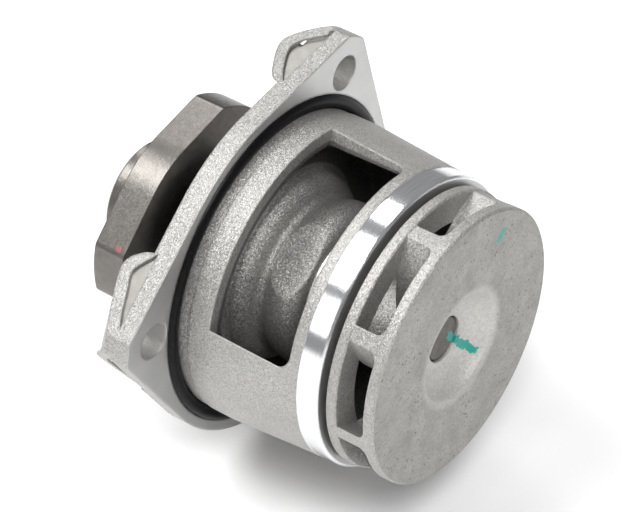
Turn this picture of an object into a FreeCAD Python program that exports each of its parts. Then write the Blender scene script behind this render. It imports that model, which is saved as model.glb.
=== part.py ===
"""Engine water pump, cartridge type: housing, closed impeller, sealed shaft bearing and drive coupling.

Millimetres. The origin is the centre of the flange's mounting face on the shaft's axis. The shaft lies
along Y, with the impeller toward -Y and the drive coupling toward +Y, and +Z is up. Angles run from +X
toward +Z. Each sub-part goes to its own STEP file in parts/.
"""
import FreeCAD, Part
import math
import os

Vector = FreeCAD.Vector
ORIGIN = Vector(0, 0, 0)
SHAFT_AXIS = Vector(0, 1, 0)
TURN_AXIS = Vector(0, -1, 0)

# Flange and its bolt ears
FLANGE_RADIUS = 45.0
FLANGE_BACK = 5.3
EAR_ANGLES = (56.9, 171.1, 294.0)
BOLT_RADIUS = 47.7
BOLT_HOLE_RADIUS = 4.5
EAR_TIP = 57.0
EAR_TIP_CORNER = 3.0
EAR_SIDE_ANGLE = 41.0
LUG_SEAT = 9.0
LUG_SEAT_RADIUS = 8.0
LUG_INSET = 0.8
LUG_RECESS_DEPTH = 0.9

# A lug's crest as it meets the ear's two side walls: (distance along the wall, y). The crest runs
# a little aslant, so the wall toward larger angles has its peak higher and further out.
LUG_CREST_LOW_SIDE = (
    (13.4, 4.2), (13.9, 7.0), (15.4, 9.3), (18.0, 11.3), (21.0, 11.3), (26.0, 9.9), (32.0, 7.9), (38.4, 5.2),
)
LUG_CREST_HIGH_SIDE = (
    (13.9, 4.2), (15.0, 8.2), (18.0, 10.3), (23.4, 13.0), (26.6, 13.5), (30.0, 12.0), (33.8, 9.1), (37.4, 4.9),
)
RECESS_LOW_SIDE = ((13.0, 4.3), (15.3, 5.9), (17.0, 7.2), (19.2, 8.4), (22.3, 7.7), (27.2, 6.3), (32.4, 4.3))
RECESS_HIGH_SIDE = ((14.2, 4.3), (18.3, 7.4), (21.5, 9.1), (25.6, 10.5), (28.1, 9.8), (31.6, 7.1), (35.0, 4.3))

# Skirt: the cylinder that enters the engine's bore
SKIRT_FRONT = -38.9
LAND_RADIUS = 37.1
LAND_BACK = -33.4
LAND_CHAMFER = 0.5
CAST_FRONT_RADIUS = 37.3
CAST_BACK_RADIUS = 39.0
SEAT_RADIUS = 38.8
THROAT_RADIUS = 29.5
THROAT_BACK = -34.9
CHAMBER_FRONT_RADIUS = 35.4
CHAMBER_FLOOR_RADIUS = 34.6
CHAMBER_FLOOR = -2.4
CHAMBER_CORNER = 1.6

# Side window of the skirt, the pump's inlet
WINDOW_START = 76.3
WINDOW_END = 167.8
WINDOW_FRONT = -30.6
WINDOW_BACK = -9.0
WINDOW_CORNER = 3.0
WINDOW_DRAW_ANGLE = 124.0
WINDOW_CUT_INNER = 30.0
WINDOW_CUT_OUTER = 46.0
WINDOW_CUT_DEPTH = 10.5

# O-ring in the corner of flange and skirt
GROOVE_RADIUS = 42.4
GROOVE_DEPTH = 2.6
O_RING_SECTION = 1.85
O_RING_FRONT = -1.05

# Boss for the shaft seal, nose for the bearing
BOSS_FRONT = -19.5
BOSS_FRONT_RADIUS = 17.4
# Arcs of the boss's waisted profile behind its front face: (middle, end), each a (radius, y)
BOSS_FRONT_LOBE = ((20.1, -17.8), (20.9, -14.8))
BOSS_WAIST_FRONT = ((20.5, -12.0), (19.4, -9.9))
BOSS_WAIST_BACK = ((19.5, -8.6), (20.9, -7.6))
BOSS_BACK_LOBE = ((23.0, -6.3), (24.2, -4.4))
BOSS_ROOT = ((24.7, -2.9), (26.2, CHAMBER_FLOOR))
SEAL_BORE_RADIUS = 14.2
SEAL_BORE_BACK = -10.5
LEAK_CHAMBER_RADIUS = 13.2
NOSE_RADIUS = 19.2
NOSE_BACK = 20.8
WEEP_RADIUS = 1.6
WEEP_ANGLE = 270.0
GUSSET_WIDTH = 4.5

# Impeller
DISC_FRONT = -53.2
DISC_BACK = -50.4
DISC_RADIUS = 35.0
RIM_FRONT = -42.9
RIM_BACK = -40.3
RIM_RADIUS = 35.35
EYE_RADIUS = 28.0
HUB_RADIUS = 10.0
HUB_BACK = -31.0
DISH_RADIUS = 15.5
DISH_DEPTH = 5.0
VANE_COUNT = 8
VANE_FIRST_ANGLE = 100.3
VANE_INNER_RADIUS = 16.0
VANE_SWEEP = 30.0
VANE_TIP_THICKNESS = 3.85
VANE_ROOT_THICKNESS = 2.2
WINDOW_FILLET = 2.0

# Shaft
SHAFT_FRONT = -47.7
SHAFT_STEP = -9.0
SHAFT_BACK = 41.2
SEAL_END_RADIUS = 6.0
SHAFT_RADIUS = 7.96

# Shaft bearing: a roller row and a ball row between the shaft and one outer ring
BEARING_FRONT = -3.0
BEARING_BACK = 21.4
BEARING_RADIUS = 15.0
RACE_RADIUS = 12.8
RACE_CLEARANCE = 0.02
BALL_COUNT = 8
BALL_RADIUS = 3.1
BALL_ROW_Y = 14.4
BALL_CAGE_HALF_WIDTH = 3.9
ROLLER_COUNT = 10
ROLLER_LENGTH = 7.6
ROLLER_ROW_Y = 3.6
ROLLER_CAGE_HALF_WIDTH = 4.5
CAGE_INNER_RADIUS = 9.4
CAGE_OUTER_RADIUS = 11.5
POCKET_CLEARANCE = 0.1
BEARING_SEAL_THICKNESS = 1.4
BEARING_SEAL_INSET = 0.2
LIP_CLEARANCE = 0.05
PITCH_RADIUS = (SHAFT_RADIUS + RACE_RADIUS) / 2
ROLLER_RADIUS = (RACE_RADIUS - SHAFT_RADIUS) / 2 - RACE_CLEARANCE

# Water seal of the shaft
SLEEVE_THICKNESS = 0.5
SLEEVE_BACK = -9.6
SEAL_FLANGE_RADIUS = 11.8
BOOT_THICKNESS = 1.4
BOOT_RADIUS = 12.2
CERAMIC_INNER_RADIUS = 7.0
CERAMIC_RADIUS = 11.2
CERAMIC_BACK = -24.6
FACE_GAP = 0.05
CARBON_INNER_RADIUS = 7.6
CARBON_RADIUS = 10.4
CARBON_BACK = -19.0
BELLOWS_THICKNESS = 0.8
BELLOWS_NECK_RADIUS = 8.4
HOLDER_THICKNESS = 0.5
HOLDER_FRONT = -23.0
CASE_THICKNESS = 0.6
CASE_FLANGE_RADIUS = 17.1
CASE_HOLE_RADIUS = 8.6
SPRING_RADIUS = 12.7
SPRING_WIRE_RADIUS = 0.5
SPRING_TURNS = 5.0

# Water slinger
SLINGER_HUB_RADIUS = 9.4
SLINGER_RADIUS = 12.2
SLINGER_FRONT = -8.8
SLINGER_BACK = -4.8

# Drive coupling
PLATE_FRONT = 23.8
PLATE_BACK = 32.4
LOBE_COUNT = 3
LOBE_FIRST_ANGLE = 57.5
LOBE_RADIUS = 30.2
LOBE_HALF_ANGLE = 13.3
SADDLE_RADIUS = 26.0
LOBE_CORNER = 2.5
COUPLING_HUB_RADIUS = 14.7
COUPLING_BACK = 42.2
COUPLING_CHAMFER = 0.8


def on_circle(radius, degrees, y):
    """The point at this radius and angle, in the plane across the shaft at y."""
    turn = math.radians(degrees)
    return Vector(radius * math.cos(turn), y, radius * math.sin(turn))


def turned(outline):
    """A body of revolution about the shaft. A point is (radius, y); three in a list are an arc's."""
    edges = []
    last = Vector(outline[0][0], outline[0][1], 0)
    first = last
    for step in outline[1:] + [outline[0]]:
        if isinstance(step, list):
            through, end = (Vector(radius, y, 0) for radius, y in step)
            edges.append(Part.Arc(last, through, end).toShape())
        else:
            end = Vector(step[0], step[1], 0)
            if end.distanceToPoint(last) > 1e-6:
                edges.append(Part.makeLine(last, end))
        last = end
    if last.distanceToPoint(first) > 1e-6:
        edges.append(Part.makeLine(last, first))
    return Part.Face(Part.Wire(edges)).revolve(ORIGIN, SHAFT_AXIS, 360)


def tube(inner_radius, outer_radius, front, back):
    """A ring about the shaft from front to back, or a plain disc when the inner radius is 0."""
    outer = Part.makeCylinder(outer_radius, back - front, Vector(0, front, 0), SHAFT_AXIS)
    if inner_radius == 0:
        return outer
    return outer.cut(Part.makeCylinder(inner_radius, back - front, Vector(0, front, 0), SHAFT_AXIS))


def at_angle(shape, degrees):
    """A copy of a shape drawn along +X, turned about the shaft from +X toward +Z."""
    copy = shape.copy()
    copy.rotate(ORIGIN, TURN_AXIS, degrees)
    return copy


def row_of(shape, count):
    """Copies of one shape, evenly spaced about the shaft, as a list."""
    return [at_angle(shape, 360.0 / count * index) for index in range(count)]


def one_solid(shape):
    """The shape as one plain solid with its split faces joined."""
    solids = shape.removeSplitter().Solids
    if len(solids) != 1:
        raise ValueError("expected one solid, found %d" % len(solids))
    return solids[0]


def ear_outline(y):
    """The outline of one ear along +X and the flange's far side, as a face across the shaft at y."""
    side = math.radians(EAR_SIDE_ANGLE)
    corner_x = EAR_TIP - EAR_TIP_CORNER
    corner_z = (FLANGE_RADIUS - EAR_TIP_CORNER - corner_x * math.cos(side)) / math.sin(side)

    def corner(degrees):
        turn = math.radians(degrees)
        return Vector(corner_x + EAR_TIP_CORNER * math.cos(turn), y, corner_z + EAR_TIP_CORNER * math.sin(turn))

    def mirrored(point):
        return Vector(point.x, point.y, -point.z)

    root = on_circle(FLANGE_RADIUS, EAR_SIDE_ANGLE, y)
    side_end = corner(EAR_SIDE_ANGLE)
    corner_middle = corner(EAR_SIDE_ANGLE / 2)
    tip = corner(0)
    far_side = Vector(-FLANGE_RADIUS, y, 0)
    edges = [
        Part.makeLine(root, side_end),
        Part.Arc(side_end, corner_middle, tip).toShape(),
        Part.makeLine(tip, mirrored(tip)),
        Part.Arc(mirrored(tip), mirrored(corner_middle), mirrored(side_end)).toShape(),
        Part.makeLine(mirrored(side_end), mirrored(root)),
        Part.Arc(mirrored(root), far_side, root).toShape(),
    ]
    return Part.Face(Part.Wire(edges))


def on_side_wall(side, wall, along, y):
    """A point on a plane parallel to one side wall of the ear along +X, at this distance from the shaft."""
    lean = math.radians(EAR_SIDE_ANGLE)
    x = wall * math.cos(lean) + along * math.sin(lean)
    z = wall * math.sin(lean) - along * math.cos(lean)
    return Vector(x, y, side * z)


def lug_section(side, wall, crest):
    """The outline of a lug in a plane parallel to one side wall: root, crest, end and base, as edges."""
    base = FLANGE_BACK - 2
    first = on_side_wall(side, wall, crest[0][0], base)
    last = on_side_wall(side, wall, crest[-1][0], base)
    points = [on_side_wall(side, wall, along, y) for along, y in crest]
    curve = Part.BSplineCurve()
    curve.interpolate(points)
    return [
        Part.makeLine(first, points[0]),
        curve.toShape(),
        Part.makeLine(points[-1], last),
        Part.makeLine(last, first),
    ]


def ear_lug():
    """The raised back of one ear along +X, trimmed to the ear's outline."""
    low = lug_section(-1, FLANGE_RADIUS, LUG_CREST_LOW_SIDE)
    high = lug_section(1, FLANGE_RADIUS - LUG_INSET, LUG_CREST_HIGH_SIDE)
    faces = [Part.makeRuledSurface(one, other) for one, other in zip(low, high)]
    faces += [Part.Face(Part.Wire(low)), Part.Face(Part.Wire(high))]
    shell = Part.makeShell(faces)
    shell.sewShape()
    lug = Part.makeSolid(shell)
    if lug.Volume < 0:
        lug.reverse()
    block = ear_outline(FLANGE_BACK - 3).extrude(Vector(0, 20, 0))
    return lug.common(block)


def lug_recess(side, wall, outline):
    """The shallow smooth pocket in one side wall of a lug along +X; side is 1 or -1."""
    points = [on_side_wall(side, wall - LUG_RECESS_DEPTH, along, y) for along, y in outline]
    curve = Part.BSplineCurve()
    curve.interpolate(points)
    face = Part.Face(Part.Wire([curve.toShape(), Part.makeLine(points[-1], points[0])]))
    outward = on_side_wall(side, wall + 4, 0, 0) - on_side_wall(side, wall, 0, 0)
    return face.extrude(outward)


def ear():
    """One bolt ear along +X with its raised back, side pockets, bolt seat and bolt hole."""
    plate = ear_outline(0).extrude(Vector(0, FLANGE_BACK, 0))
    shape = plate.fuse(ear_lug())
    shape = shape.cut(lug_recess(-1, FLANGE_RADIUS, RECESS_LOW_SIDE))
    shape = shape.cut(lug_recess(1, FLANGE_RADIUS - LUG_INSET, RECESS_HIGH_SIDE))
    seat = Part.makeCylinder(LUG_SEAT_RADIUS, 10, Vector(BOLT_RADIUS, LUG_SEAT, 0), SHAFT_AXIS)
    return shape.cut(seat)


def gusset():
    """The web along +X that ties an ear's back to the bearing nose."""
    points = [
        Vector(NOSE_RADIUS - 1.5, FLANGE_BACK - 1, 0),
        Vector(41.5, FLANGE_BACK - 1, 0),
        Vector(41.5, FLANGE_BACK + 1, 0),
        Vector(NOSE_RADIUS - 1.5, 15.0, 0),
    ]
    face = Part.Face(Part.makePolygon(points + points[:1]))
    web = face.extrude(Vector(0, 0, GUSSET_WIDTH))
    web.translate(Vector(0, 0, -GUSSET_WIDTH / 2))
    return web


def side_window():
    """The cutter for the inlet window: square to the skirt at its start, along the core's draw at its end."""
    draw = math.radians(WINDOW_DRAW_ANGLE)
    along = Vector(math.cos(draw), 0, math.sin(draw))
    edge = on_circle(CAST_BACK_RADIUS - 0.8, WINDOW_END, WINDOW_FRONT)
    far = on_circle(2 * WINDOW_CUT_OUTER, (WINDOW_START + WINDOW_END) / 2, WINDOW_FRONT)
    points = [
        on_circle(WINDOW_CUT_INNER, WINDOW_START, WINDOW_FRONT),
        on_circle(2 * WINDOW_CUT_OUTER, WINDOW_START, WINDOW_FRONT),
        far + along * WINDOW_CUT_OUTER,
        edge + along * WINDOW_CUT_OUTER,
        edge - along * WINDOW_CUT_DEPTH,
    ]
    face = Part.Face(Part.makePolygon(points + points[:1]))
    block = face.extrude(Vector(0, WINDOW_BACK - WINDOW_FRONT, 0))
    corners = []
    for start, end in ((points[0], points[1]), (points[3], points[4])):
        for side in block.Edges:
            at_start = any(vertex.Point.distanceToPoint(start) < 1e-6 for vertex in side.Vertexes)
            at_end = any(vertex.Point.distanceToPoint(end) < 1e-6 for vertex in side.Vertexes)
            if at_start and at_end:
                corners.append(side)
    return block.makeFillet(WINDOW_CORNER, corners)


def weep_hole():
    """The slanted drilling that drains the leak chamber to the back of the flange."""
    start = Vector(11.0, -8.2, 0)
    end = Vector(25.3, 8.6, 0)
    drill = Part.makeCylinder(WEEP_RADIUS, (end - start).Length, start, end - start)
    return at_angle(drill, WEEP_ANGLE)


def pump_housing():
    """The cast and machined body."""
    corner_rise = CHAMBER_CORNER * (1 - math.sqrt(0.5))
    body = turned([
        (THROAT_RADIUS, SKIRT_FRONT),
        (LAND_RADIUS - LAND_CHAMFER, SKIRT_FRONT),
        (LAND_RADIUS, SKIRT_FRONT + LAND_CHAMFER),
        (LAND_RADIUS, LAND_BACK),
        (CAST_FRONT_RADIUS, LAND_BACK + 0.2),
        (CAST_BACK_RADIUS, WINDOW_BACK),
        (CAST_BACK_RADIUS, -3.2),
        (SEAT_RADIUS, -3.0),
        (SEAT_RADIUS, GROOVE_DEPTH),
        (GROOVE_RADIUS, GROOVE_DEPTH),
        (GROOVE_RADIUS, 0),
        (FLANGE_RADIUS, 0),
        (FLANGE_RADIUS, FLANGE_BACK - 0.8),
        [(FLANGE_RADIUS - 0.25, FLANGE_BACK - 0.25), (FLANGE_RADIUS - 0.8, FLANGE_BACK)],
        (NOSE_RADIUS + 2.2, FLANGE_BACK),
        [(NOSE_RADIUS + 0.65, FLANGE_BACK + 0.65), (NOSE_RADIUS, FLANGE_BACK + 2.2)],
        (NOSE_RADIUS - 0.5, NOSE_BACK - 1.0),
        (NOSE_RADIUS - 1.5, NOSE_BACK),
        (BEARING_RADIUS + 0.6, NOSE_BACK),
        (BEARING_RADIUS, NOSE_BACK - 0.8),
        (BEARING_RADIUS, BEARING_FRONT),
        (LEAK_CHAMBER_RADIUS, BEARING_FRONT),
        (LEAK_CHAMBER_RADIUS, SEAL_BORE_BACK),
        (SEAL_BORE_RADIUS, SEAL_BORE_BACK),
        (SEAL_BORE_RADIUS, BOSS_FRONT),
        (BOSS_FRONT_RADIUS, BOSS_FRONT),
        list(BOSS_FRONT_LOBE),
        list(BOSS_WAIST_FRONT),
        list(BOSS_WAIST_BACK),
        list(BOSS_BACK_LOBE),
        list(BOSS_ROOT),
        (CHAMBER_FLOOR_RADIUS - CHAMBER_CORNER, CHAMBER_FLOOR),
        [(CHAMBER_FLOOR_RADIUS - corner_rise, CHAMBER_FLOOR - corner_rise),
         (CHAMBER_FLOOR_RADIUS, CHAMBER_FLOOR - CHAMBER_CORNER)],
        (CHAMBER_FRONT_RADIUS, THROAT_BACK),
        (THROAT_RADIUS, THROAT_BACK),
    ])
    core = tube(0, SEAT_RADIUS, -1.0, FLANGE_BACK + 20)
    ears = ear().cut(core)
    groove = tube(0, GROOVE_RADIUS, -1.0, GROOVE_DEPTH)
    for angle in EAR_ANGLES:
        body = body.fuse(at_angle(ears.cut(groove), angle))
        body = body.fuse(at_angle(gusset(), angle))
    hole = Part.makeCylinder(BOLT_HOLE_RADIUS, 40, Vector(BOLT_RADIUS, -10, 0), SHAFT_AXIS)
    for angle in EAR_ANGLES:
        body = body.cut(at_angle(hole, angle))
    return one_solid(body.cut(side_window()).cut(weep_hole()))


def flange_o_ring():
    """The ring in the flange's corner groove, flattened a little where it bears on the groove."""
    middle = (SEAT_RADIUS + GROOVE_RADIUS) / 2
    ring = Part.makeTorus(middle, O_RING_SECTION, Vector(0, O_RING_FRONT + O_RING_SECTION, 0), SHAFT_AXIS)
    return one_solid(ring.common(tube(SEAT_RADIUS, GROOVE_RADIUS, O_RING_FRONT - 1, GROOVE_DEPTH)))


def water_passage():
    """The cutter between two vanes: curved sides, and front corners with a casting radius."""
    outer = DISC_RADIUS + 3.0
    inner = VANE_INNER_RADIUS
    pitch = 360.0 / VANE_COUNT

    def vane_side(radius, which):
        spread = (radius - inner) / (DISC_RADIUS - inner)
        thickness = VANE_ROOT_THICKNESS + (VANE_TIP_THICKNESS - VANE_ROOT_THICKNESS) * spread
        centre = VANE_SWEEP * (1 - spread)
        return centre + which * math.degrees(math.asin(thickness / 2 / radius))

    def side_arc(which, offset):
        radii = (inner, (inner + outer) / 2, outer)
        points = [on_circle(radius, vane_side(radius, which) + offset, DISC_BACK) for radius in radii]
        return Part.Arc(*points).toShape()

    first = side_arc(1, 0)
    second = side_arc(-1, pitch)
    bow_angle = (vane_side(outer, 1) + vane_side(outer, -1) + pitch) / 2
    nose_angle = (vane_side(inner, 1) + vane_side(inner, -1) + pitch) / 2
    outer_arc = Part.Arc(first.Vertexes[-1].Point, on_circle(outer, bow_angle, DISC_BACK),
                         second.Vertexes[-1].Point).toShape()
    inner_arc = Part.Arc(second.Vertexes[0].Point, on_circle(inner, nose_angle, DISC_BACK),
                         first.Vertexes[0].Point).toShape()
    face = Part.Face(Part.Wire([first, outer_arc, second, inner_arc]))
    cutter = face.extrude(Vector(0, RIM_FRONT - DISC_BACK, 0))
    vane_roots = []
    for edge in cutter.Edges:
        flat = all(abs(vertex.Y - DISC_BACK) < 1e-6 for vertex in edge.Vertexes)
        radii = [math.hypot(vertex.X, vertex.Z) for vertex in edge.Vertexes]
        if flat and abs(max(radii) - min(radii)) > 1:
            vane_roots.append(edge)
    return cutter.makeFillet(WINDOW_FILLET, vane_roots)


def impeller():
    """The closed wheel: front disc with a dish and hub, vanes, and the rear rim around the eye."""
    edge = 0.5
    disc = turned([
        (SEAL_END_RADIUS, DISC_FRONT + DISH_DEPTH),
        (SEAL_END_RADIUS + 1.6, DISC_FRONT + DISH_DEPTH),
        [(10.8, -49.6), (DISH_RADIUS - 1.6, -52.6)],
        [(DISH_RADIUS - 0.9, -53.03), (DISH_RADIUS, DISC_FRONT)],
        (DISC_RADIUS - edge, DISC_FRONT),
        (DISC_RADIUS, DISC_FRONT + edge),
        (DISC_RADIUS, DISC_BACK),
        (19.0, DISC_BACK),
        [(13.2, -48.2), (HUB_RADIUS + 0.3, -43.0)],
        (HUB_RADIUS, HUB_BACK),
        (SEAL_END_RADIUS, HUB_BACK),
    ])
    vanes = tube(VANE_INNER_RADIUS, DISC_RADIUS, DISC_BACK, RIM_FRONT)
    for cutter in row_of(at_angle(water_passage(), VANE_FIRST_ANGLE), VANE_COUNT):
        vanes = vanes.cut(cutter)
    rim = turned([
        (EYE_RADIUS, RIM_FRONT),
        (DISC_RADIUS, RIM_FRONT),
        (RIM_RADIUS, RIM_FRONT + 0.35),
        (RIM_RADIUS, RIM_BACK),
        (EYE_RADIUS + 0.8, RIM_BACK),
        (EYE_RADIUS, RIM_BACK - 0.8),
    ])
    return one_solid(disc.fuse(vanes).fuse(rim))


def ball_groove():
    """The round track that the balls run in, cut into shaft and outer ring alike."""
    return Part.makeTorus(PITCH_RADIUS, BALL_RADIUS + RACE_CLEARANCE, Vector(0, BALL_ROW_Y, 0), SHAFT_AXIS)


def pump_shaft():
    """The stepped shaft, which is the inner race of its own bearing."""
    chamfer = 0.6
    shaft = turned([
        (0, SHAFT_FRONT),
        (SEAL_END_RADIUS - chamfer, SHAFT_FRONT),
        (SEAL_END_RADIUS, SHAFT_FRONT + chamfer),
        (SEAL_END_RADIUS, SHAFT_STEP),
        (SHAFT_RADIUS - chamfer, SHAFT_STEP),
        (SHAFT_RADIUS, SHAFT_STEP + chamfer),
        (SHAFT_RADIUS, SHAFT_BACK - chamfer),
        (SHAFT_RADIUS - chamfer, SHAFT_BACK),
        (0, SHAFT_BACK),
    ])
    centre_drill = Part.makeCone(0.2, 1.6, 2.0, Vector(0, SHAFT_BACK - 2.0, 0), SHAFT_AXIS)
    return one_solid(shaft.cut(ball_groove()).cut(centre_drill))


def drive_coupling():
    """The steel plate with three driving lobes, and its hub, pressed on the shaft's back end."""
    pitch = 360.0 / LOBE_COUNT
    flank = math.degrees(math.acos(SADDLE_RADIUS / LOBE_RADIUS))
    saddle_half_angle = pitch / 2 - LOBE_HALF_ANGLE - flank
    edges = []
    corners = []
    for index in range(LOBE_COUNT):
        lobe = LOBE_FIRST_ANGLE + pitch * index
        saddle = lobe + pitch / 2
        lobe_start = on_circle(LOBE_RADIUS, lobe - LOBE_HALF_ANGLE, PLATE_FRONT)
        lobe_end = on_circle(LOBE_RADIUS, lobe + LOBE_HALF_ANGLE, PLATE_FRONT)
        saddle_start = on_circle(SADDLE_RADIUS, saddle - saddle_half_angle, PLATE_FRONT)
        saddle_end = on_circle(SADDLE_RADIUS, saddle + saddle_half_angle, PLATE_FRONT)
        next_lobe = on_circle(LOBE_RADIUS, lobe + pitch - LOBE_HALF_ANGLE, PLATE_FRONT)
        edges.append(Part.Arc(lobe_start, on_circle(LOBE_RADIUS, lobe, PLATE_FRONT), lobe_end).toShape())
        edges.append(Part.makeLine(lobe_end, saddle_start))
        edges.append(Part.Arc(saddle_start, on_circle(SADDLE_RADIUS, saddle, PLATE_FRONT), saddle_end).toShape())
        edges.append(Part.makeLine(saddle_end, next_lobe))
        corners += [lobe_start, lobe_end]
    plate = Part.Face(Part.Wire(edges)).extrude(Vector(0, PLATE_BACK - PLATE_FRONT, 0))
    rounded = []
    for edge in plate.Edges:
        near, far = edge.Vertexes[0].Point, edge.Vertexes[-1].Point
        across = [Vector(near.x, PLATE_FRONT, near.z).distanceToPoint(corner) for corner in corners]
        if abs(near.y - far.y) > 1 and min(across) < 0.01:
            rounded.append(edge)
    plate = plate.makeFillet(LOBE_CORNER, rounded)
    hub = turned([
        (0, PLATE_FRONT),
        (COUPLING_HUB_RADIUS, PLATE_FRONT),
        (COUPLING_HUB_RADIUS, COUPLING_BACK - COUPLING_CHAMFER),
        (COUPLING_HUB_RADIUS - COUPLING_CHAMFER, COUPLING_BACK),
        (0, COUPLING_BACK),
    ])
    bore = Part.makeCylinder(SHAFT_RADIUS, 30, Vector(0, PLATE_FRONT - 1, 0), SHAFT_AXIS)
    return one_solid(plate.fuse(hub).cut(bore))


def bearing_outer_ring():
    """The pressed-in outer ring with the ball track inside."""
    chamfer = 0.4
    ring = turned([
        (RACE_RADIUS, BEARING_FRONT),
        (BEARING_RADIUS - chamfer, BEARING_FRONT),
        (BEARING_RADIUS, BEARING_FRONT + chamfer),
        (BEARING_RADIUS, BEARING_BACK - chamfer),
        (BEARING_RADIUS - chamfer, BEARING_BACK),
        (RACE_RADIUS, BEARING_BACK),
    ])
    return one_solid(ring.cut(ball_groove()))


def bearing_balls():
    """The ball row."""
    ball = Part.makeSphere(BALL_RADIUS, Vector(PITCH_RADIUS, BALL_ROW_Y, 0))
    return Part.makeCompound(row_of(ball, BALL_COUNT))


def ball_cage():
    """The ring that spaces the balls."""
    ring = tube(CAGE_INNER_RADIUS, CAGE_OUTER_RADIUS, BALL_ROW_Y - BALL_CAGE_HALF_WIDTH,
                BALL_ROW_Y + BALL_CAGE_HALF_WIDTH)
    pocket = Part.makeCylinder(BALL_RADIUS + POCKET_CLEARANCE, 2 * BALL_RADIUS,
                               Vector(PITCH_RADIUS - BALL_RADIUS, BALL_ROW_Y, 0), Vector(1, 0, 0))
    for cutter in row_of(pocket, BALL_COUNT):
        ring = ring.cut(cutter)
    return one_solid(ring)


def roller(radius, length):
    """One roller at +X, or the pocket for it when it is drawn larger."""
    return Part.makeCylinder(radius, length, Vector(PITCH_RADIUS, ROLLER_ROW_Y - length / 2, 0), SHAFT_AXIS)


def bearing_rollers():
    """The roller row."""
    return Part.makeCompound(row_of(roller(ROLLER_RADIUS, ROLLER_LENGTH), ROLLER_COUNT))


def roller_cage():
    """The ring that spaces the rollers."""
    ring = tube(CAGE_INNER_RADIUS, CAGE_OUTER_RADIUS, ROLLER_ROW_Y - ROLLER_CAGE_HALF_WIDTH,
                ROLLER_ROW_Y + ROLLER_CAGE_HALF_WIDTH)
    pocket = roller(ROLLER_RADIUS + POCKET_CLEARANCE, ROLLER_LENGTH + 2 * POCKET_CLEARANCE)
    for cutter in row_of(pocket, ROLLER_COUNT):
        ring = ring.cut(cutter)
    return one_solid(ring)


def bearing_seal(front):
    """A lip seal in one end of the bearing, with its front face at this y."""
    back = front + BEARING_SEAL_THICKNESS
    lip = SHAFT_RADIUS + LIP_CLEARANCE
    return turned([
        (lip, front + 0.5),
        (lip + 1.0, front),
        (RACE_RADIUS, front),
        (RACE_RADIUS, back),
        (lip + 1.0, back),
        (lip, back - 0.5),
    ])


def seal_case():
    """The pressed steel cup that holds the water seal in the boss."""
    outer = SEAL_BORE_RADIUS
    inner = outer - CASE_THICKNESS
    return turned([
        (inner, BOSS_FRONT - CASE_THICKNESS),
        (CASE_FLANGE_RADIUS, BOSS_FRONT - CASE_THICKNESS),
        (CASE_FLANGE_RADIUS, BOSS_FRONT),
        (outer, BOSS_FRONT),
        (outer, SEAL_BORE_BACK),
        (CASE_HOLE_RADIUS, SEAL_BORE_BACK),
        (CASE_HOLE_RADIUS, SEAL_BORE_BACK - CASE_THICKNESS),
        (inner, SEAL_BORE_BACK - CASE_THICKNESS),
    ])


def seal_bellows():
    """The rubber sleeve from the case's floor to the carbon ring."""
    floor = SEAL_BORE_BACK - CASE_THICKNESS
    neck = BELLOWS_NECK_RADIUS + 0.4
    collar = CARBON_RADIUS + BELLOWS_THICKNESS
    front = HOLDER_FRONT + HOLDER_THICKNESS
    return turned([
        (CARBON_RADIUS, front),
        (collar, front),
        (collar, CARBON_BACK + BELLOWS_THICKNESS),
        (neck + BELLOWS_THICKNESS, CARBON_BACK + BELLOWS_THICKNESS),
        (neck + BELLOWS_THICKNESS, floor - BELLOWS_THICKNESS),
        (collar + 0.6, floor - BELLOWS_THICKNESS),
        (collar + 0.6, floor),
        (neck, floor),
        (neck, CARBON_BACK),
        (CARBON_RADIUS, CARBON_BACK),
    ])


def carbon_ring_holder():
    """The steel band around the bellows' collar, with the flange that the spring pushes on."""
    inner = CARBON_RADIUS + BELLOWS_THICKNESS
    flange_back = HOLDER_FRONT + HOLDER_THICKNESS
    return turned([
        (CARBON_RADIUS + 0.1, HOLDER_FRONT),
        (SPRING_RADIUS + SPRING_WIRE_RADIUS, HOLDER_FRONT),
        (SPRING_RADIUS + SPRING_WIRE_RADIUS, flange_back),
        (inner + HOLDER_THICKNESS, flange_back),
        (inner + HOLDER_THICKNESS, CARBON_BACK),
        (inner, CARBON_BACK),
        (inner, flange_back),
        (CARBON_RADIUS + 0.1, flange_back),
    ])


def seal_spring():
    """The coil spring between the holder's flange and the case's floor."""
    front = HOLDER_FRONT + HOLDER_THICKNESS + SPRING_WIRE_RADIUS + 0.02
    back = SEAL_BORE_BACK - CASE_THICKNESS - SPRING_WIRE_RADIUS - 0.02
    helix = Part.makeHelix((back - front) / SPRING_TURNS, back - front, SPRING_RADIUS)
    spine = helix.Edges[0]
    start = Vector(SPRING_RADIUS, 0, 0)
    section = Part.Circle(start, spine.tangentAt(spine.FirstParameter), SPRING_WIRE_RADIUS)
    halves = [section.toShape(0, math.pi), section.toShape(math.pi, 2 * math.pi)]
    coil = Part.Wire(helix.Edges).makePipeShell([Part.Wire(halves)], True, True)
    coil.rotate(ORIGIN, Vector(1, 0, 0), -90)
    coil.translate(Vector(0, front, 0))
    return one_solid(coil)


def carbon_ring():
    """The still sealing ring. Its nose meets the ceramic ring."""
    nose = CARBON_RADIUS - 0.9
    front = CERAMIC_BACK + FACE_GAP
    return turned([
        (CARBON_INNER_RADIUS, front),
        (nose, front),
        (nose, HOLDER_FRONT - 0.4),
        (CARBON_RADIUS, HOLDER_FRONT),
        (CARBON_RADIUS, CARBON_BACK),
        (CARBON_INNER_RADIUS, CARBON_BACK),
    ])


def ceramic_ring():
    """The turning sealing ring."""
    return tube(CERAMIC_INNER_RADIUS, CERAMIC_RADIUS, ceramic_front(), CERAMIC_BACK)


def ceramic_front():
    """Where the ceramic ring meets the floor of its boot."""
    return HUB_BACK + SLEEVE_THICKNESS + BOOT_THICKNESS


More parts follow.
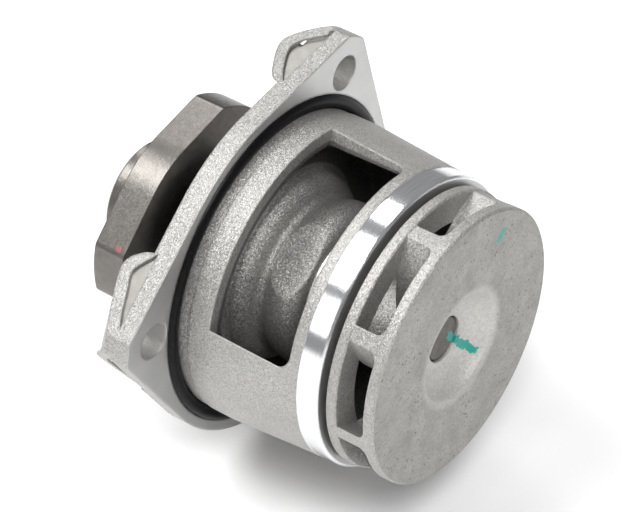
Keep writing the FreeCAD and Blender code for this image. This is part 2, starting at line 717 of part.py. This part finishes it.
def ceramic_ring_boot():
    """The rubber cup that carries the ceramic ring and drives it."""
    front = HUB_BACK + SLEEVE_THICKNESS
    inner = SEAL_END_RADIUS + SLEEVE_THICKNESS
    return turned([
        (inner, front),
        (BOOT_RADIUS, front),
        (BOOT_RADIUS, CERAMIC_BACK - 1.0),
        (CERAMIC_RADIUS, CERAMIC_BACK - 1.0),
        (CERAMIC_RADIUS, ceramic_front()),
        (inner, ceramic_front()),
    ])


def seal_sleeve():
    """The thin steel sleeve on the shaft, with a flange against the impeller's hub."""
    outer = SEAL_END_RADIUS + SLEEVE_THICKNESS
    return turned([
        (SEAL_END_RADIUS, HUB_BACK),
        (SEAL_FLANGE_RADIUS, HUB_BACK),
        (SEAL_FLANGE_RADIUS, HUB_BACK + SLEEVE_THICKNESS),
        (outer, HUB_BACK + SLEEVE_THICKNESS),
        (outer, SLEEVE_BACK),
        (SEAL_END_RADIUS, SLEEVE_BACK),
    ])


def water_slinger():
    """The deflector on the shaft that throws a leak outward, into the weep hole."""
    middle = (SLINGER_FRONT + SLINGER_BACK) / 2
    return turned([
        (SHAFT_RADIUS, SLINGER_FRONT + 0.6),
        (SLINGER_HUB_RADIUS, SLINGER_FRONT + 0.6),
        (SLINGER_HUB_RADIUS, middle - 0.6),
        (SLINGER_RADIUS, middle - 1.0),
        (SLINGER_RADIUS, middle - 0.2),
        (SLINGER_HUB_RADIUS, middle + 0.6),
        (SLINGER_HUB_RADIUS, SLINGER_BACK),
        (SHAFT_RADIUS, SLINGER_BACK),
    ])


def build():
    """Every sub-part by the name of its node."""
    return {
        "pump_housing": pump_housing(),
        "flange_o_ring": flange_o_ring(),
        "impeller": impeller(),
        "pump_shaft": pump_shaft(),
        "drive_coupling": drive_coupling(),
        "bearing_outer_ring": bearing_outer_ring(),
        "bearing_balls": bearing_balls(),
        "ball_cage": ball_cage(),
        "bearing_rollers": bearing_rollers(),
        "roller_cage": roller_cage(),
        "front_bearing_seal": bearing_seal(BEARING_FRONT + BEARING_SEAL_INSET),
        "rear_bearing_seal": bearing_seal(BEARING_BACK - BEARING_SEAL_THICKNESS - BEARING_SEAL_INSET),
        "seal_case": seal_case(),
        "seal_spring": seal_spring(),
        "seal_bellows": seal_bellows(),
        "carbon_ring_holder": carbon_ring_holder(),
        "carbon_ring": carbon_ring(),
        "ceramic_ring": ceramic_ring(),
        "ceramic_ring_boot": ceramic_ring_boot(),
        "seal_sleeve": seal_sleeve(),
        "water_slinger": water_slinger(),
    }


os.makedirs("parts", exist_ok=True)
for name, shape in build().items():
    shape.exportStep("parts/%s.step" % name)
    print("%-20s valid %s volume %9.1f solids %d" % (name, shape.isValid(), shape.Volume, len(shape.Solids)))
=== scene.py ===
"""Looks of the engine water pump: materials on the CAD nodes, floor, light and camera. Metres."""
import math

import bpy
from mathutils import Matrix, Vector


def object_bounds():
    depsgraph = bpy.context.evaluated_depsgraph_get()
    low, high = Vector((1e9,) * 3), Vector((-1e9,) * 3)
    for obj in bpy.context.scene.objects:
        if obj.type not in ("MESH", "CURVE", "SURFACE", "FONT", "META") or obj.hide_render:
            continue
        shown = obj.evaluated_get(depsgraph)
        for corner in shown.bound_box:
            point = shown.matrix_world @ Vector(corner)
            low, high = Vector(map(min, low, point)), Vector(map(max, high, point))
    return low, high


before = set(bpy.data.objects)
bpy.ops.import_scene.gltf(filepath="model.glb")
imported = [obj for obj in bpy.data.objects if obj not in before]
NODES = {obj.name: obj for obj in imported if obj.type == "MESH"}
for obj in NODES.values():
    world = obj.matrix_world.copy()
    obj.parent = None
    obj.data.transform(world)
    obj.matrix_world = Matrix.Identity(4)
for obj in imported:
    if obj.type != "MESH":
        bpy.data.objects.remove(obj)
cad_low, cad_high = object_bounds()

# Camera: direction seen from the object, how far, and how long a lens
CAMERA_AZIMUTH = -53.28
CAMERA_ELEVATION = 40.24
CAMERA_DISTANCE = 0.72
CAMERA_TARGET = Vector((0.0068, -0.0072, 0.0))
CAMERA_LENS = 168.75
SENSOR_WIDTH = 36.0
CAMERA_CLIP_START = 0.01

# Floor, in metres, and how bright the surroundings are
FLOOR_HALF_WIDTH = 3.0
FLOOR_GAP = 0.0002
WORLD_STRENGTH = 0.27

# Bolt ears of the housing, as in the CAD source, in millimetres and degrees
EAR_ANGLES = (56.9, 171.1, 294.0)
BOLT_RADIUS = 47.7
SIDE_ANGLE = 41.0
LOW_SIDE_FLOOR = 44.1
HIGH_SIDE_FLOOR = 43.3
HOLE_REACH = 4.6
SEAT_REACH = 8.1
SEAT_START = 8.9
POCKET_START = 4.2

# Where the other finishes, the painted shade inside the chamber and the painted light on the dish begin and
# end, in millimetres
FLANGE_MIN_RADIUS = 42.3
GROOVE_RADII = (38.6, 42.45)
CHAMBER_SPAN = (-34.8, -2.0)
CHAMBER_RADII = (26.0, 36.0)
LAND_START = 33.3
LAND_MIN_RADIUS = 36.4
FRONT_END_START = 38.85
FRONT_END_MIN_RADIUS = 29.0
WHEEL_FACE_START = 53.12
DISH_START = 47.6
PAINT_START = 47.0

# Colours, linear
CAST = (0.60, 0.586, 0.565)
CAST_DARK = (0.22, 0.214, 0.205)
MACHINED = (0.56, 0.56, 0.555)
LAND = (0.86, 0.87, 0.89)
# Floor colour of the ear pockets, darkened as painted shade of the recess
POCKET_PAINTED_SHADE = (0.19, 0.184, 0.172)
WHEEL = (0.40, 0.393, 0.372)
WHEEL_DARK = (0.19, 0.19, 0.18)
STEEL = (0.17, 0.160, 0.149)
SHAFT = (0.17, 0.158, 0.143)
TEAL = (0.02, 0.28, 0.24)
RED = (0.45, 0.06, 0.08)


class Graph:
    """A material's node tree, with short ways to add to it. Inputs are sockets or plain values."""

    def __init__(self, name):
        self.material = bpy.data.materials.new(name)
        self.material.use_nodes = True
        self.tree = self.material.node_tree
        self.shader = self.tree.nodes["Principled BSDF"]
        coords = self.tree.nodes.new("ShaderNodeTexCoord")
        scale = self.tree.nodes.new("ShaderNodeVectorMath")
        scale.operation = "SCALE"
        scale.inputs["Scale"].default_value = 1000.0
        self.tree.links.new(coords.outputs["Object"], scale.inputs[0])
        self.point = scale.outputs[0]
        split = self.add("ShaderNodeSeparateXYZ", Vector=self.point)
        self.x, self.y, self.z = split.outputs
        self.radius = self.math("SQRT", self.math("ADD", self.math("POWER", self.x, 2.0),
                                                  self.math("POWER", self.z, 2.0)))

    def add(self, kind, **inputs):
        node = self.tree.nodes.new(kind)
        for name, value in inputs.items():
            self.put(node.inputs[name.replace("_", " ")], value)
        return node

    def put(self, socket, value):
        if isinstance(value, bpy.types.NodeSocket):
            self.tree.links.new(value, socket)
        elif isinstance(value, tuple) and socket.type == "RGBA":
            socket.default_value = (*value[:3], 1.0)
        else:
            socket.default_value = value

    def math(self, operation, a, b=0.0, clamp=False):
        node = self.tree.nodes.new("ShaderNodeMath")
        node.operation = operation
        node.use_clamp = clamp
        self.put(node.inputs[0], a)
        self.put(node.inputs[1], b)
        return node.outputs[0]

    def vector(self, operation, a, b=(0.0, 0.0, 0.0), scale=None):
        node = self.tree.nodes.new("ShaderNodeVectorMath")
        node.operation = operation
        self.put(node.inputs[0], a)
        if scale is None:
            self.put(node.inputs[1], b)
        else:
            self.put(node.inputs["Scale"], scale)
        return node.outputs["Value"] if operation in ("DISTANCE", "DOT_PRODUCT") else node.outputs[0]

    def mix(self, share, a, b):
        node = self.tree.nodes.new("ShaderNodeMix")
        node.data_type = "RGBA"
        self.put(node.inputs["Factor"], share)
        for socket, value in zip([s for s in node.inputs if s.type == "RGBA"], (a, b)):
            self.put(socket, value)
        return [s for s in node.outputs if s.type == "RGBA"][0]

    def blend(self, share, a, b):
        """a where share is 0 and b where it is 1, for plain numbers."""
        return self.math("ADD", self.math("MULTIPLY", a, self.inverse(share)),
                         self.math("MULTIPLY", b, share))

    def inverse(self, mask):
        return self.math("SUBTRACT", 1.0, mask)

    def step(self, value, edge, width):
        """0 below edge and 1 above it, over this width."""
        return self.math("DIVIDE", self.math("SUBTRACT", value, edge - width / 2), width, clamp=True)

    def ahead(self, start, width=0.1):
        """1 further forward than start, in millimetres in front of the flange face."""
        return self.step(self.math("MULTIPLY", self.y, -1.0), start, width)

    def band(self, value, low, high, width=0.1):
        """1 between low and high, with edges this wide."""
        below = self.inverse(self.step(value, high, width))
        return self.math("MULTIPLY", self.step(value, low, width), below)

    def noise(self, scale, detail=3.0, roughness=0.5, point=None):
        """Noise from 0 to 1, with scale in cells per millimetre."""
        node = self.add("ShaderNodeTexNoise", Vector=point or self.point, Scale=scale, Detail=detail,
                        Roughness=roughness)
        return node.outputs[0]

    def cells(self, scale, output="Color"):
        return self.add("ShaderNodeTexVoronoi", Vector=self.point, Scale=scale).outputs[output]

    def contrast(self, value, low, high):
        node = self.add("ShaderNodeMapRange", Value=value)
        node.inputs["From Min"].default_value = low
        node.inputs["From Max"].default_value = high
        return node.outputs[0]

    def around(self):
        """How far round the shaft a point is, as an arc in millimetres at its own radius."""
        angle = self.math("ARCTAN2", self.z, self.x)
        return self.math("MULTIPLY", angle, self.radius)

    def near(self, x, z, radius):
        """1 within this distance of a line along the shaft's direction at x, z."""
        across = self.math("SQRT", self.math("ADD", self.math("POWER", self.math("SUBTRACT", self.x, x), 2.0),
                                             self.math("POWER", self.math("SUBTRACT", self.z, z), 2.0)))
        return self.inverse(self.step(across, radius, 0.1))

    def either(self, *masks):
        total = masks[0]
        for mask in masks[1:]:
            total = self.math("MAXIMUM", total, mask)
        return total

    def both(self, *masks):
        total = masks[0]
        for mask in masks[1:]:
            total = self.math("MULTIPLY", total, mask)
        return total

    def without(self, mask, taken):
        return self.math("MULTIPLY", mask, self.inverse(taken))

    def grain_normal(self, tilt, cell_scale, bumps, edge_radius=0.00035):
        """A normal with softened edges, small facets tilted at random, and bumps. tilt may be a socket."""
        soft = self.add("ShaderNodeBevel", Radius=edge_radius)
        soft.samples = 4
        facet = self.vector("SUBTRACT", self.cells(cell_scale), (0.5, 0.5, 0.5))
        facet = self.vector("SCALE", facet, scale=tilt)
        normal = self.vector("NORMALIZE", self.vector("ADD", soft.outputs[0], facet))
        for height, strength, distance in bumps:
            bump = self.add("ShaderNodeBump", Height=height, Strength=strength, Distance=distance,
                            Normal=normal)
            normal = bump.outputs[0]
        return normal

    def finish(self, colour, metallic, roughness, normal=None, **sockets):
        self.put(self.shader.inputs["Base Color"], colour)
        self.put(self.shader.inputs["Metallic"], metallic)
        self.put(self.shader.inputs["Roughness"], roughness)
        if normal:
            self.put(self.shader.inputs["Normal"], normal)
        for name, value in sockets.items():
            self.put(self.shader.inputs[name.replace("_", " ")], value)
        return self.material


def cast_grain(g, light, dark, grains=5.2):
    """The speckled colour of a rough casting, and how rough each speck is."""
    speck = g.vector("DOT_PRODUCT", g.cells(grains), (0.34, 0.33, 0.33))
    fine = g.noise(3.6, detail=3.0, roughness=0.7)
    share = g.math("ADD", g.contrast(speck, 0.25, 0.78),
                   g.math("MULTIPLY", g.contrast(fine, 0.35, 0.65), 0.5))
    share = g.math("MULTIPLY", share, 0.66, clamp=True)
    cloud = g.contrast(g.noise(0.12, detail=2.0), 0.3, 0.7)
    colour = g.mix(share, dark, light)
    colour = g.mix(g.math("MULTIPLY", cloud, 0.16), colour, dark)
    rough = g.math("ADD", 0.42, g.math("MULTIPLY", g.contrast(fine, 0.3, 0.7), 0.22))
    return colour, rough


def housing_material():
    g = Graph("cast_body")
    colour, rough = cast_grain(g, CAST, CAST_DARK)
    flange_face = g.both(g.band(g.y, -0.1, 0.1, 0.05), g.step(g.radius, FLANGE_MIN_RADIUS, 0.1))
    land = g.both(g.ahead(LAND_START), g.step(g.radius, LAND_MIN_RADIUS, 0.1))
    front_end = g.both(g.ahead(FRONT_END_START, 0.04), g.step(g.radius, FRONT_END_MIN_RADIUS, 0.1))
    groove = g.both(g.band(g.y, -0.3, 2.8), g.band(g.radius, *GROOVE_RADII))
    inside = g.both(g.band(g.y, *CHAMBER_SPAN), g.band(g.radius, *CHAMBER_RADII, 0.5))
    seats, drilled, pockets = [], [], []
    for degrees in EAR_ANGLES:
        turn = math.radians(degrees)
        bolt_x, bolt_z = BOLT_RADIUS * math.cos(turn), BOLT_RADIUS * math.sin(turn)
        behind = g.step(g.y, 0.2, 0.1)
        drilled.append(g.both(g.near(bolt_x, bolt_z, HOLE_REACH), behind))
        seats.append(g.both(g.near(bolt_x, bolt_z, SEAT_REACH), g.step(g.y, SEAT_START, 0.1)))
        for side, floor in ((-1, LOW_SIDE_FLOOR), (1, HIGH_SIDE_FLOOR)):
            facing = math.radians(degrees + side * SIDE_ANGLE)
            out = g.vector("DOT_PRODUCT", g.point, (math.cos(facing), 0.0, math.sin(facing)))
            at_floor = g.band(out, floor - 0.06, floor + 0.06, 0.03)
            pockets.append(g.both(at_floor, g.step(g.y, POCKET_START, 0.1)))
    pocket = g.either(*pockets)
    smooth = g.either(flange_face, groove, front_end, *seats)
    drilled = g.either(*drilled)
    turned = g.noise(6.0, detail=2.0)
    lathe = g.math("SINE", g.math("MULTIPLY", g.radius, 26.0))
    faint = g.noise(0.09, detail=3.0)
    machined = g.mix(g.contrast(faint, 0.3, 0.7), tuple(c * 0.86 for c in MACHINED), MACHINED)
    machined = g.mix(g.math("MULTIPLY", turned, 0.25), machined, (0.36, 0.36, 0.36))
    streaks = g.noise(1.0, detail=4.0, point=g.add("ShaderNodeCombineXYZ", X=g.math("MULTIPLY", g.y, 9.0),
                                                    Y=g.math("MULTIPLY", g.around(), 0.12)).outputs[0])
    bright = g.mix(g.contrast(streaks, 0.35, 0.75), LAND, tuple(c * 0.72 for c in LAND))
    # Painted shade: the pocket floors are coloured darker than the casting, standing in for the shade in the
    # recess, with a random mottle
    floor = g.mix(g.noise(0.5, detail=4.0), POCKET_PAINTED_SHADE, tuple(c * 1.5 for c in POCKET_PAINTED_SHADE))
    # Painted shade: the chamber wall inside the window is darkened towards near-black, standing in for the
    # shade in that recess
    colour = g.mix(g.math("MULTIPLY", inside, 0.75), colour, (0.09, 0.09, 0.085))
    colour = g.mix(smooth, colour, machined)
    colour = g.mix(land, colour, bright)
    colour = g.mix(pocket, colour, floor)
    colour = g.mix(drilled, colour, g.mix(g.noise(3.0), (0.34, 0.335, 0.325), (0.62, 0.61, 0.59)))
    rough = g.blend(smooth, rough, g.math("ADD", 0.34, g.math("MULTIPLY", turned, 0.12)))
    rough = g.blend(land, rough, g.math("ADD", 0.07, g.math("MULTIPLY", streaks, 0.1)))
    rough = g.blend(pocket, rough, 0.42)
    plain = g.either(smooth, land, pocket)
    tilt = g.math("MULTIPLY", g.inverse(plain), g.blend(drilled, 0.62, 0.3))
    lumps = g.without(g.noise(3.0, detail=4.0, roughness=0.6), plain)
    marks = g.math("ADD", g.math("MULTIPLY", smooth, g.math("MULTIPLY", lathe, 0.5)),
                   g.math("MULTIPLY", land, streaks))
    normal = g.grain_normal(tilt, 5.0, [(lumps, 0.5, 0.00009), (marks, 0.25, 0.00002)], edge_radius=0.0008)
    return g.finish(colour, g.blend(plain, 0.72, 0.95), rough, normal)


def wheel_material():
    g = Graph("cast_wheel")
    colour, rough = cast_grain(g, CAST, CAST_DARK)
    front = g.ahead(WHEEL_FACE_START, 0.06)
    dish = g.both(g.inverse(g.step(g.radius, 15.0, 2.4)),
                  g.ahead(DISH_START))
    middle = g.both(g.inverse(g.step(g.radius, 17.0, 0.4)),
                    g.ahead(DISH_START))
    disc = g.either(front, middle)
    cloud = g.noise(0.14, detail=5.0, roughness=0.62)
    skin = g.mix(g.contrast(cloud, 0.3, 0.72), tuple(c * 0.82 for c in WHEEL), tuple(c * 1.08 for c in WHEEL))
    fine = g.noise(1.5, detail=4.0, roughness=0.75)
    skin = g.mix(g.math("MULTIPLY", g.contrast(fine, 0.42, 0.62), 0.35), skin, WHEEL_DARK)
    patch = g.contrast(g.noise(0.13, detail=2.0), 0.42, 0.58)
    pore = g.inverse(g.contrast(g.cells(1.0, "Distance"), 0.16, 0.36))
    chance = g.contrast(g.noise(0.9, detail=1.0), 0.50, 0.54)
    pits = g.both(pore, chance, patch)
    skin = g.mix(g.math("MULTIPLY", pits, 0.85), skin, (0.06, 0.06, 0.055))
    smear = g.both(g.contrast(g.noise(0.22, detail=4.0), 0.52, 0.72), g.inverse(dish))
    skin = g.mix(g.math("MULTIPLY", smear, 0.3), skin, WHEEL_DARK)
    # Painted light: the dish is coloured lighter than the disc, standing in for the light on its sloping
    # face, with a random mottle
    dish_painted_light = g.mix(g.contrast(fine, 0.3, 0.7), (0.72, 0.71, 0.68), (0.52, 0.51, 0.49))
    skin = g.mix(g.math("MULTIPLY", dish, 0.7), skin, dish_painted_light)
    colour = g.mix(disc, colour, skin)
    paint = paint_marks(g)
    colour = g.mix(paint, colour, TEAL)
    rough = g.blend(disc, rough, g.math("ADD", 0.5, g.math("MULTIPLY", fine, 0.2)))
    rough = g.blend(paint, rough, 0.35)
    tilt = g.math("MULTIPLY", g.blend(disc, 0.62, 0.16), g.inverse(paint))
    lumps = g.blend(disc, g.noise(3.0, detail=4.0, roughness=0.6),
                    g.math("SUBTRACT", g.math("MULTIPLY", fine, 0.5), pits))
    normal = g.grain_normal(tilt, 5.0, [(lumps, 0.5, 0.00009)])
    metallic = g.math("MULTIPLY", g.blend(disc, 0.72, 0.6), g.inverse(paint))
    return g.finish(colour, metallic, rough, normal)


def paint_marks(g):
    """An inspector's brush stroke from the shaft's end across the dish, and a small dab further out."""
    ragged = g.math("MULTIPLY", g.math("SUBTRACT", g.noise(0.9, detail=3.0, roughness=0.65), 0.5), 2.7)
    masks = []
    for start, end, half in (((2.2, -0.4), (9.4, -8.8), 1.0), ((13.2, 23.0), (16.2, 25.6), 1.0)):
        length = math.hypot(end[0] - start[0], end[1] - start[1])
        along_x, along_z = (end[0] - start[0]) / length, (end[1] - start[1]) / length
        dx = g.math("SUBTRACT", g.x, start[0])
        dz = g.math("SUBTRACT", g.z, start[1])
        along = g.math("ADD", g.math("MULTIPLY", dx, along_x), g.math("MULTIPLY", dz, along_z))
        across = g.math("SUBTRACT", g.math("MULTIPLY", dz, along_x), g.math("MULTIPLY", dx, along_z))
        across = g.math("ABSOLUTE", across)
        across = g.math("ADD", across, ragged)
        inside = g.inverse(g.step(across, half, 0.3))
        masks.append(g.both(inside, g.band(g.math("ADD", along, ragged), 0.0, length, 0.3)))
    return g.both(g.either(*masks), g.ahead(PAINT_START))


def shaft_material():
    g = Graph("ground_steel")
    rings = g.noise(1.0, detail=3.0, point=g.add("ShaderNodeCombineXYZ", X=g.math("MULTIPLY", g.radius, 7.0),
                                                  Y=g.math("MULTIPLY", g.y, 7.0)).outputs[0])
    stain = g.noise(0.5, detail=4.0)
    colour = g.mix(g.contrast(rings, 0.35, 0.7), SHAFT, tuple(c * 0.68 for c in SHAFT))
    colour = g.mix(g.math("MULTIPLY", g.contrast(stain, 0.45, 0.7), 0.4), colour, (0.10, 0.082, 0.064))
    paint = paint_marks(g)
    colour = g.mix(paint, colour, TEAL)
    rough = g.blend(paint, g.math("ADD", 0.34, g.math("MULTIPLY", stain, 0.2)), 0.35)
    normal = g.grain_normal(0.05, 3.0, [(rings, 0.3, 0.00004)])
    return g.finish(colour, g.math("SUBTRACT", 0.95, g.math("MULTIPLY", paint, 0.95)), rough, normal)


def coupling_material():
    g = Graph("coupling_steel")
    mottle = g.noise(0.35, detail=5.0, roughness=0.65)
    fine = g.noise(3.0, detail=4.0, roughness=0.7)
    drawn = g.add("ShaderNodeCombineXYZ", X=g.math("MULTIPLY", g.around(), 0.35),
                  Y=g.math("MULTIPLY", g.y, 5.0)).outputs[0]
    marks = g.noise(1.0, detail=3.0, point=drawn)
    colour = g.mix(g.contrast(mottle, 0.3, 0.72), tuple(c * 0.82 for c in STEEL),
                   tuple(c * 1.06 for c in STEEL))
    colour = g.mix(g.math("MULTIPLY", g.contrast(fine, 0.4, 0.7), 0.22), colour, (0.10, 0.094, 0.086))
    spot = g.vector("DISTANCE", g.point, (-28.0, 26.0, 8.8))
    spot = g.math("ADD", spot, g.math("MULTIPLY", mottle, 0.8))
    red = g.inverse(g.step(spot, 1.15, 0.6))
    colour = g.mix(g.math("MULTIPLY", red, 0.6), colour, RED)
    rough = g.math("ADD", 0.27, g.math("MULTIPLY", marks, 0.14))
    normal = g.grain_normal(0.07, 4.0, [(marks, 0.15, 0.00003), (fine, 0.2, 0.00003)])
    return g.finish(colour, g.math("SUBTRACT", 0.97, g.math("MULTIPLY", red, 0.6)), rough, normal)


def rubber_material():
    g = Graph("black_rubber")
    dust = g.noise(1.2, detail=5.0, roughness=0.7)
    colour = g.mix(g.contrast(dust, 0.4, 0.75), (0.003, 0.003, 0.0035), (0.010, 0.010, 0.011))
    rough = g.math("ADD", 0.24, g.math("MULTIPLY", dust, 0.2))
    bump = g.add("ShaderNodeBump", Height=g.noise(2.5, detail=3.0), Strength=0.15, Distance=0.00005)
    return g.finish(colour, 0.0, rough, bump.outputs[0], Specular_IOR_Level=0.1)


def inner_material(name, light, dark, metallic, roughness, scale=1.2, bump=0.15):
    """A material for pieces inside: two tones in a fine pattern, with matching roughness and relief."""
    g = Graph(name)
    pattern = g.noise(scale, detail=4.0, roughness=0.6)
    turned = g.noise(1.0, detail=2.0, point=g.add("ShaderNodeCombineXYZ", X=g.math("MULTIPLY", g.radius, 5.0),
                                                   Y=g.math("MULTIPLY", g.y, 5.0)).outputs[0])
    share = g.math("ADD", g.math("MULTIPLY", pattern, 0.6), g.math("MULTIPLY", turned, 0.4))
    colour = g.mix(g.contrast(share, 0.3, 0.7), dark, light)
    rough = g.math("ADD", roughness - 0.06, g.math("MULTIPLY", pattern, 0.14))
    relief = g.add("ShaderNodeBump", Height=share, Strength=bump, Distance=0.00004)
    return g.finish(colour, metallic, rough, relief.outputs[0])


def paint(material, *names):
    for name in names:
        node = NODES[name]
        node.data.materials.clear()
        node.data.materials.append(material)


def view_direction(azimuth, elevation):
    """The unit vector from the object toward a viewer at this azimuth and elevation."""
    a, e = math.radians(azimuth), math.radians(elevation)
    return Vector((math.sin(a) * math.cos(e), -math.cos(a) * math.cos(e), math.sin(e)))


def make_camera():
    data = bpy.data.cameras.new("camera")
    data.lens = CAMERA_LENS
    data.sensor_width = SENSOR_WIDTH
    data.clip_start = CAMERA_CLIP_START
    camera = bpy.data.objects.new("camera", data)
    bpy.context.scene.collection.objects.link(camera)
    back = view_direction(CAMERA_AZIMUTH, CAMERA_ELEVATION)
    camera.location = CAMERA_TARGET + back * CAMERA_DISTANCE
    camera.rotation_mode = "QUATERNION"
    camera.rotation_quaternion = (-back).to_track_quat("-Z", "Y")
    bpy.context.scene.camera = camera


def area_light(name, position, size, energy, height=None):
    """A soft rectangular lamp at position, aimed at the origin."""
    data = bpy.data.lights.new(name, "AREA")
    data.shape = "RECTANGLE"
    data.size = size
    data.size_y = height if height else size
    data.energy = energy
    lamp = bpy.data.objects.new(name, data)
    bpy.context.scene.collection.objects.link(lamp)
    lamp.location = position
    lamp.rotation_mode = "QUATERNION"
    lamp.rotation_quaternion = (-Vector(position)).to_track_quat("-Z", "Y")


def make_world(strength):
    world = bpy.data.worlds.new("studio")
    world.use_nodes = True
    background = world.node_tree.nodes["Background"]
    background.inputs["Color"].default_value = (1, 1, 1, 1)
    background.inputs["Strength"].default_value = strength
    bpy.context.scene.world = world


def make_floor():
    mesh = bpy.data.meshes.new("floor")
    half = FLOOR_HALF_WIDTH
    z = cad_low.z - FLOOR_GAP
    corners = [(-half, -half, z), (half, -half, z), (half, half, z), (-half, half, z)]
    mesh.from_pydata(corners, [], [(0, 1, 2, 3)])
    floor = bpy.data.objects.new("floor", mesh)
    bpy.context.scene.collection.objects.link(floor)
    material = bpy.data.materials.new("floor")
    material.use_nodes = True
    shader = material.node_tree.nodes["Principled BSDF"]
    shader.inputs["Base Color"].default_value = (0.92, 0.92, 0.92, 1)
    shader.inputs["Roughness"].default_value = 0.7
    mesh.materials.append(material)


paint(housing_material(), "pump_housing")
paint(wheel_material(), "impeller")
paint(shaft_material(), "pump_shaft")
paint(coupling_material(), "drive_coupling")
paint(rubber_material(), "flange_o_ring")
paint(inner_material("seal_rubber", (0.035, 0.035, 0.037), (0.012, 0.012, 0.013), 0.0, 0.5, 2.0, 0.3),
      "front_bearing_seal", "rear_bearing_seal", "seal_bellows", "ceramic_ring_boot", "water_slinger")
paint(inner_material("bearing_steel", (0.62, 0.62, 0.63), (0.46, 0.46, 0.47), 1.0, 0.16, 0.6, 0.05),
      "bearing_outer_ring", "bearing_balls", "bearing_rollers")
paint(inner_material("cage_plastic", (0.66, 0.58, 0.42), (0.50, 0.43, 0.30), 0.0, 0.45, 0.9, 0.2),
      "ball_cage", "roller_cage")
paint(inner_material("pressed_steel", (0.58, 0.57, 0.54), (0.42, 0.41, 0.39), 1.0, 0.28, 1.4, 0.1),
      "seal_case", "seal_spring", "carbon_ring_holder", "seal_sleeve")
paint(inner_material("carbon", (0.045, 0.045, 0.05), (0.022, 0.022, 0.025), 0.0, 0.38, 3.0, 0.1),
      "carbon_ring")
paint(inner_material("ceramic", (0.80, 0.78, 0.72), (0.70, 0.68, 0.62), 0.0, 0.22, 0.8, 0.05), "ceramic_ring")
make_camera()
make_floor()
make_world(WORLD_STRENGTH)
area_light("key", (-0.36, 0.42, 0.95), 0.55, 10)
area_light("front_top", (-0.45, -0.50, 0.95), 0.45, 10)
area_light("strip_right", (0.45, 0.50, 0.85), 0.2, 3.0, height=0.7)
area_light("strip_left", (-0.92, 0.42, 0.45), 0.14, 0.9, height=0.5)
bpy.context.scene.view_settings.view_transform = "Standard"
